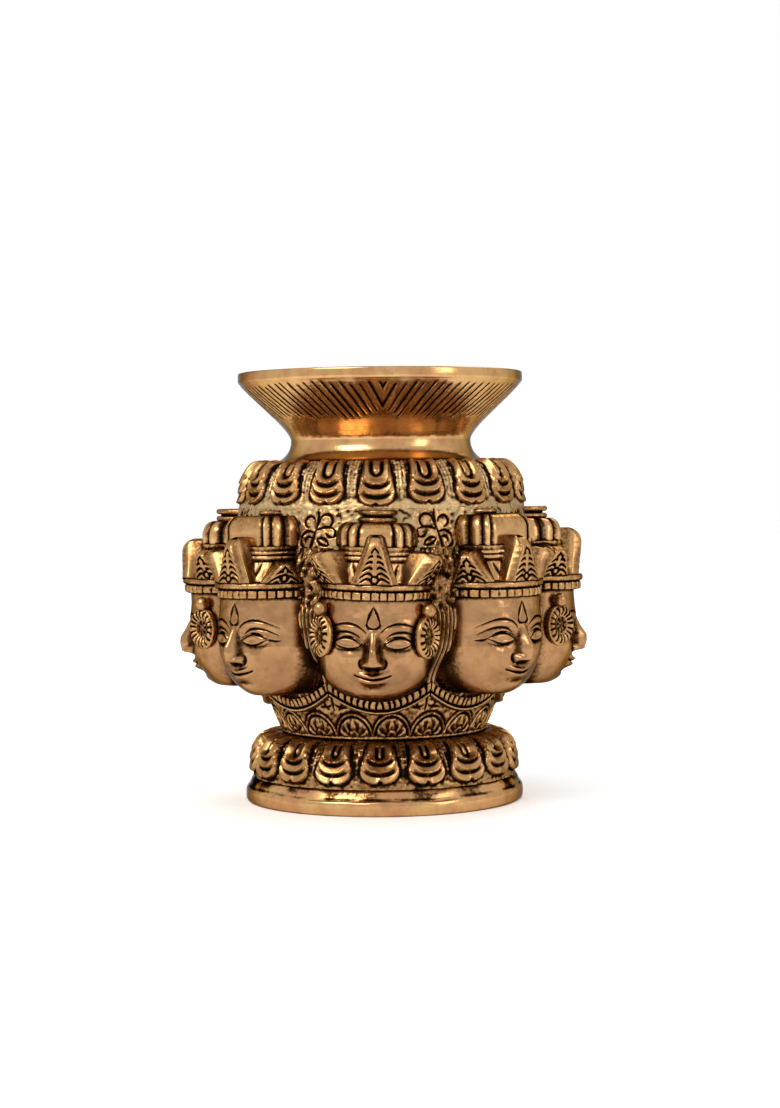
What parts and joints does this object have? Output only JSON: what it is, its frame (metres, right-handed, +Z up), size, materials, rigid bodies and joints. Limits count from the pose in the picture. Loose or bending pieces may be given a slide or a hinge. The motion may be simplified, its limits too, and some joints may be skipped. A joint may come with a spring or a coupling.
{
  "type": "ritual water pot",
  "caption": "Round brass water pot with a flared mouth, a lotus-petal shoulder and foot, and a ring of crowned heads that look outwards from its bowl.",
  "frame": {"origin": "centre of the flat ground face of the foot rim", "axes": "+Z up the pot's axis to the mouth; one head looks along -Y"},
  "size_m": [0.1054, 0.1054, 0.11],
  "materials": {
    "turned_brass": "turned and polished",
    "cast_brass": "cast, dark in the recesses",
    "face_brass": "cast and brushed satin",
    "ornament_brass": "cast and chased",
    "inside_brass": "cast, dull and stained"
  },
  "bodies": {
    "root": {"foot_rim": "turned_brass", "lotus_foot": "cast_brass", "floor_disc": "inside_brass", "bowl": "cast_brass", "lotus_shoulder": "cast_brass", "mouth_and_neck": "turned_brass", "head_1": "face_brass", "crown_1": "ornament_brass", "hair_knot_1": "ornament_brass", "necklace_1": "ornament_brass", "left_earring_1": "ornament_brass", "right_earring_1": "ornament_brass", "head_2": "face_brass", "crown_2": "ornament_brass", "hair_knot_2": "ornament_brass", "necklace_2": "ornament_brass", "head_3": "face_brass", "crown_3": "ornament_brass", "hair_knot_3": "ornament_brass", "necklace_3": "ornament_brass", "left_earring_3": "ornament_brass", "right_earring_3": "ornament_brass", "head_4": "face_brass", "crown_4": "ornament_brass", "hair_knot_4": "ornament_brass", "necklace_4": "ornament_brass", "head_5": "face_brass", "crown_5": "ornament_brass", "hair_knot_5": "ornament_brass", "necklace_5": "ornament_brass", "left_earring_5": "ornament_brass", "right_earring_5": "ornament_brass", "head_6": "face_brass", "crown_6": "ornament_brass", "hair_knot_6": "ornament_brass", "necklace_6": "ornament_brass", "head_7": "face_brass", "crown_7": "ornament_brass", "hair_knot_7": "ornament_brass", "necklace_7": "ornament_brass", "left_earring_7": "ornament_brass", "right_earring_7": "ornament_brass", "head_8": "face_brass", "crown_8": "ornament_brass", "hair_knot_8": "ornament_brass", "necklace_8": "ornament_brass"}
  },
  "joints": []
}
